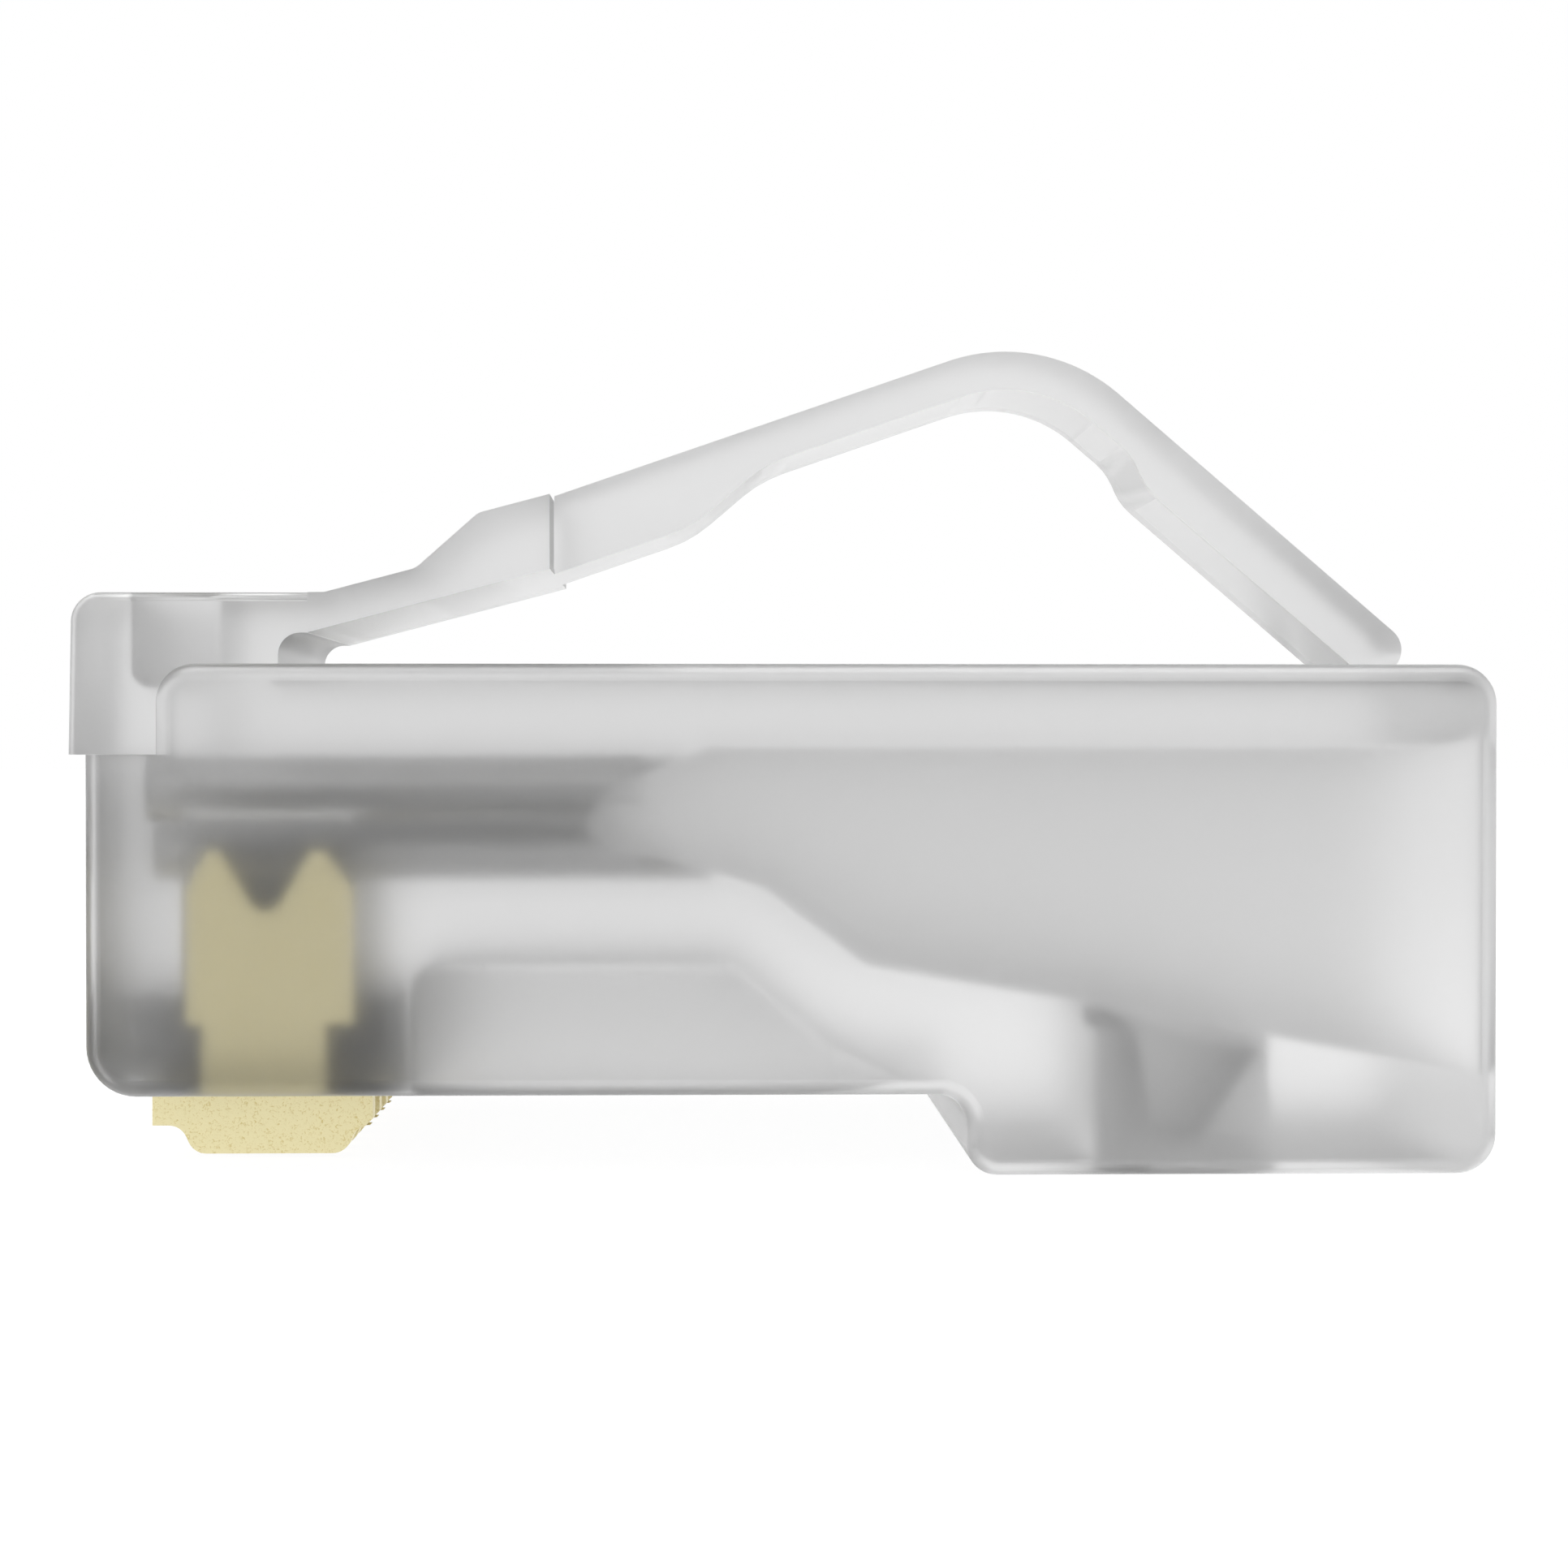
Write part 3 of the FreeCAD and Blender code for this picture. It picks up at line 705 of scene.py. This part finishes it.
class PLUG_OT_latch_bow(bpy.types.Operator):
    """Dress the narrow part of the latch: arm, thin arch and tail in one piece"""

    bl_idname = "plug.latch_bow"
    bl_label = "Latch bow"

    def execute(self, context):
        sizes = context.scene.plug_latch
        centre = ARCH_PIVOT - Vector((0, 0, sizes.arch_radius))
        start = seam_plane(sizes)
        arm = moulded_copy("latch_arm", "latch_bow")
        bisect(arm, (start, 0, 0), (-1, 0, 0), fill=True)
        rise, fall = sizes.arm_slope, sizes.tail_slope
        bisect(arm, centre, (math.cos(rise), 0, math.sin(rise)), fill=False)
        tail = copy_node("latch_tail", "tail_copy")
        tail.data.materials.append(plastic())
        bisect(tail, centre, (-math.cos(fall), 0, math.sin(fall)), fill=False)
        self.turn_arch(arm, centre, rise, rise + fall, sizes.arch_steps)
        self.weld(arm, tail)
        square_sides(arm, sizes.side_margin)
        smooth_rounds(arm)
        mark_seam(arm, start)
        polish_underside(arm)
        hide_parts("latch_tail")
        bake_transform(arm)
        return {"FINISHED"}

    def weld(self, arm, tail):
        """Join the tail to the spun arch, with one closed skin."""
        select_only(arm, tail)
        bpy.ops.object.join()
        edit(arm, "VERT")
        bpy.ops.mesh.select_all(action="SELECT")
        bpy.ops.mesh.remove_doubles(threshold=WELD)
        bpy.ops.mesh.normals_make_consistent(inside=False)
        leave_edit()

    def arch_ends(self, centre, sizes):
        """Where the bend over the arch starts and ends, either side of its top."""
        rise, fall = sizes.arm_slope, sizes.tail_slope
        middle = (fall - rise) / 2
        along = Vector((math.cos(middle), 0, -math.sin(middle)))
        reach = sizes.arch_radius * math.sin((rise + fall) / 2)
        top = centre + Vector((math.sin(middle), 0, math.cos(middle))) * sizes.arch_radius
        return top - along * reach, top + along * reach

    def turn_arch(self, piece, centre, rise, angle, steps):
        """Spin the open end of the arm round the arch's centre."""
        normal = Vector((math.cos(rise), 0, math.sin(rise)))

        def at_end(edge):
            ends = [piece.data.vertices[index].co for index in edge.vertices]
            return all(abs((end - centre).dot(normal)) < ON_SEAM for end in ends)

        pick(piece, "edges", at_end)
        edit(piece, "EDGE")
        bpy.ops.mesh.spin(
            steps=steps, angle=angle, center=centre, axis=(0, -1, 0), use_normal_flip=False
        )
        leave_edit()


class PLUG_OT_pressure_bar(bpy.types.Operator):
    """Give the pressure bar in the heel the moulding's plastic"""

    bl_idname = "plug.pressure_bar"
    bl_label = "Pressure bar"

    def execute(self, context):
        dress_node("strain_relief_bar", plastic())
        return {"FINISHED"}


class PLUG_OT_contacts(bpy.types.Operator):
    """Give the contacts their gold plate"""

    bl_idname = "plug.contacts"
    bl_label = "Contacts"

    def execute(self, context):
        gold = gold_plate()
        for node in CONTACTS:
            dress_node(node, gold)
        return {"FINISHED"}


def dress_node(node, material):
    """Show a CAD node as it is, in one material."""
    piece = frame["nodes"][node]
    piece.data.materials.clear()
    piece.data.materials.append(material)


class PLUG_OT_stage(bpy.types.Operator):
    """Set the floor, the soft light and the camera"""

    bl_idname = "plug.stage"
    bl_label = "Stage"

    def execute(self, context):
        sizes = context.scene.plug_stage
        self.add_floor(sizes)
        self.add_world(sizes)
        self.add_softbox(sizes)
        self.add_camera(sizes)
        context.scene.view_settings.view_transform = "Standard"
        return {"FINISHED"}

    def add_floor(self, sizes):
        """A white card under the heel."""
        bpy.ops.mesh.primitive_plane_add(size=sizes.floor_size, location=(0, 0, BOX_LOW.z))
        floor = bpy.context.active_object
        floor.name = "floor"
        bpy.ops.object.transform_apply(location=True, rotation=True, scale=True)
        floor.data.materials.append(pale_floor(sizes))

    def add_world(self, sizes):
        """Soft light all round, and a backdrop before and behind for what the plastic lets through."""
        world = bpy.data.worlds.new("soft_studio")
        bpy.context.scene.world = world
        world.use_nodes = True
        tree = world.node_tree
        tree.nodes.clear()
        path = add_node(tree, "ShaderNodeLightPath")
        direction = add_node(tree, "ShaderNodeTexCoord")
        axes = add_node(
            tree, "ShaderNodeSeparateXYZ", links={"Vector": direction.outputs["Generated"]}
        )
        facing = combine(tree, "MULTIPLY", axes.outputs["Y"], axes.outputs["Y"])
        shade = add_node(
            tree,
            "ShaderNodeMapRange",
            inputs={
                "From Min": sizes.backdrop_from,
                "From Max": sizes.backdrop_full,
                "To Min": sizes.off_backdrop,
                "To Max": 1.0,
            },
            links={"Value": facing},
        )
        light = add_node(
            tree,
            "ShaderNodeBackground",
            inputs={"Color": (1, 1, 1, 1), "Strength": sizes.world_light},
        )
        backdrop = add_node(
            tree,
            "ShaderNodeBackground",
            inputs={"Color": (1, 1, 1, 1)},
            links={"Strength": shade.outputs["Result"]},
        )
        white = add_node(
            tree, "ShaderNodeBackground", inputs={"Color": (1, 1, 1, 1), "Strength": 1.0}
        )
        soft = add_node(
            tree,
            "ShaderNodeMixShader",
            links={
                "Fac": path.outputs["Is Transmission Ray"],
                1: light.outputs[0],
                2: backdrop.outputs[0],
            },
        )
        mix = add_node(
            tree,
            "ShaderNodeMixShader",
            links={
                "Fac": white_rays(tree, passed=0.0),
                1: soft.outputs[0],
                2: white.outputs[0],
            },
        )
        add_node(tree, "ShaderNodeOutputWorld", links={"Surface": mix.outputs[0]})

    def add_softbox(self, sizes):
        """A lamp overhead, hidden from rays that passed through the plastic."""
        bpy.ops.object.light_add(
            type="AREA",
            location=(0, -sizes.softbox_forward, BOX_HIGH.z + sizes.softbox_rise),
            rotation=(sizes.softbox_tilt, 0, 0),
        )
        softbox = bpy.context.active_object
        softbox.name = "softbox"
        softbox.data.shape = "RECTANGLE"
        softbox.data.size = sizes.softbox_size
        softbox.data.size_y = sizes.softbox_size / 2
        softbox.data.energy = sizes.softbox_power
        softbox.visible_transmission = False

    def add_camera(self, sizes):
        """A camera before the plug's long side, at the height of its body."""
        place = Vector((sizes.camera_side, -sizes.camera_back, BOX_LOW.z + sizes.camera_rise))
        aim = Vector((sizes.aim_side, 0, BOX_LOW.z + sizes.aim_rise))
        bpy.ops.object.camera_add(location=place)
        camera = bpy.context.active_object
        camera.name = "camera"
        camera.rotation_euler = (aim - place).to_track_quat("-Z", "Y").to_euler()
        camera.data.lens = sizes.focal_length
        camera.data.clip_start = 0.001
        bpy.context.scene.camera = camera


def combine(tree, operation, first, second):
    """The output of a math node on two sockets or numbers."""
    node = add_node(tree, "ShaderNodeMath", {"operation": operation})
    for socket, source in zip(node.inputs, (first, second)):
        if isinstance(source, (int, float)):
            socket.default_value = source
        else:
            tree.links.new(source, socket)
    return node.outputs[0]


def white_rays(tree, camera=1.0, mirrored=1.0, passed=1.0):
    """How much of the white background the camera's, mirrored and passed-through rays see."""
    path = add_node(tree, "ShaderNodeLightPath")
    through = path.outputs["Is Transmission Ray"]
    not_through = combine(tree, "SUBTRACT", 1.0, through)
    off_surface = combine(tree, "MULTIPLY", path.outputs["Is Glossy Ray"], not_through)
    total = combine(tree, "MULTIPLY", path.outputs["Is Camera Ray"], camera)
    for ray, share in ((off_surface, mirrored), (through, passed)):
        total = combine(tree, "MAXIMUM", total, combine(tree, "MULTIPLY", ray, share))
    return total


def pale_floor(sizes):
    """Matt white card, which shows white but keeps part of the plug's shadow."""
    material, output = new_material("white card")
    tree = material.node_tree
    share = white_rays(tree, camera=sizes.card_white, mirrored=1.0, passed=sizes.card_passed)
    tone = (sizes.card_tone, sizes.card_tone, sizes.card_tone, 1)
    card = add_node(tree, "ShaderNodeBsdfDiffuse", inputs={"Color": tone})
    white = add_node(
        tree, "ShaderNodeEmission", inputs={"Color": (1, 1, 1, 1), "Strength": sizes.card_glow}
    )
    mix = add_node(
        tree,
        "ShaderNodeMixShader",
        links={"Fac": share, 1: card.outputs[0], 2: white.outputs[0]},
    )
    tree.links.new(mix.outputs[0], output.inputs["Surface"])
    return material


# Panel and start --------------------------------------------------------------------------


class PLUG_PT_panel(bpy.types.Panel):
    """Lists the plug's pieces and their settings"""

    bl_label = "Modular plug"
    bl_idname = "PLUG_PT_panel"
    bl_space_type = "VIEW_3D"
    bl_region_type = "UI"
    bl_category = "Modular plug"

    def draw(self, context):
        for name, group in SETTINGS.items():
            settings = getattr(context.scene, name)
            box = self.layout.box()
            for key in group.__annotations__:
                box.prop(settings, key)
        for operator in OPERATORS:
            self.layout.operator(operator.bl_idname)


OPERATORS = (
    PLUG_OT_housing,
    PLUG_OT_latch_root,
    PLUG_OT_latch_bow,
    PLUG_OT_pressure_bar,
    PLUG_OT_contacts,
    PLUG_OT_stage,
)


def register():
    """Register the settings, operators and panel."""
    for group in SETTINGS.values():
        bpy.utils.register_class(group)
    for name, group in SETTINGS.items():
        setattr(bpy.types.Scene, name, bpy.props.PointerProperty(type=group))
    for operator in OPERATORS:
        bpy.utils.register_class(operator)
    bpy.utils.register_class(PLUG_PT_panel)


def unregister():
    """Take them out again, last first."""
    bpy.utils.unregister_class(PLUG_PT_panel)
    for operator in reversed(OPERATORS):
        bpy.utils.unregister_class(operator)
    for name in SETTINGS:
        delattr(bpy.types.Scene, name)
    for group in SETTINGS.values():
        bpy.utils.unregister_class(group)


def main():
    """Build every piece and the stage."""
    register()
    for operator in OPERATORS:
        group, name = operator.bl_idname.split(".")
        getattr(getattr(bpy.ops, group), name)()


if __name__ == "__main__":
    main()
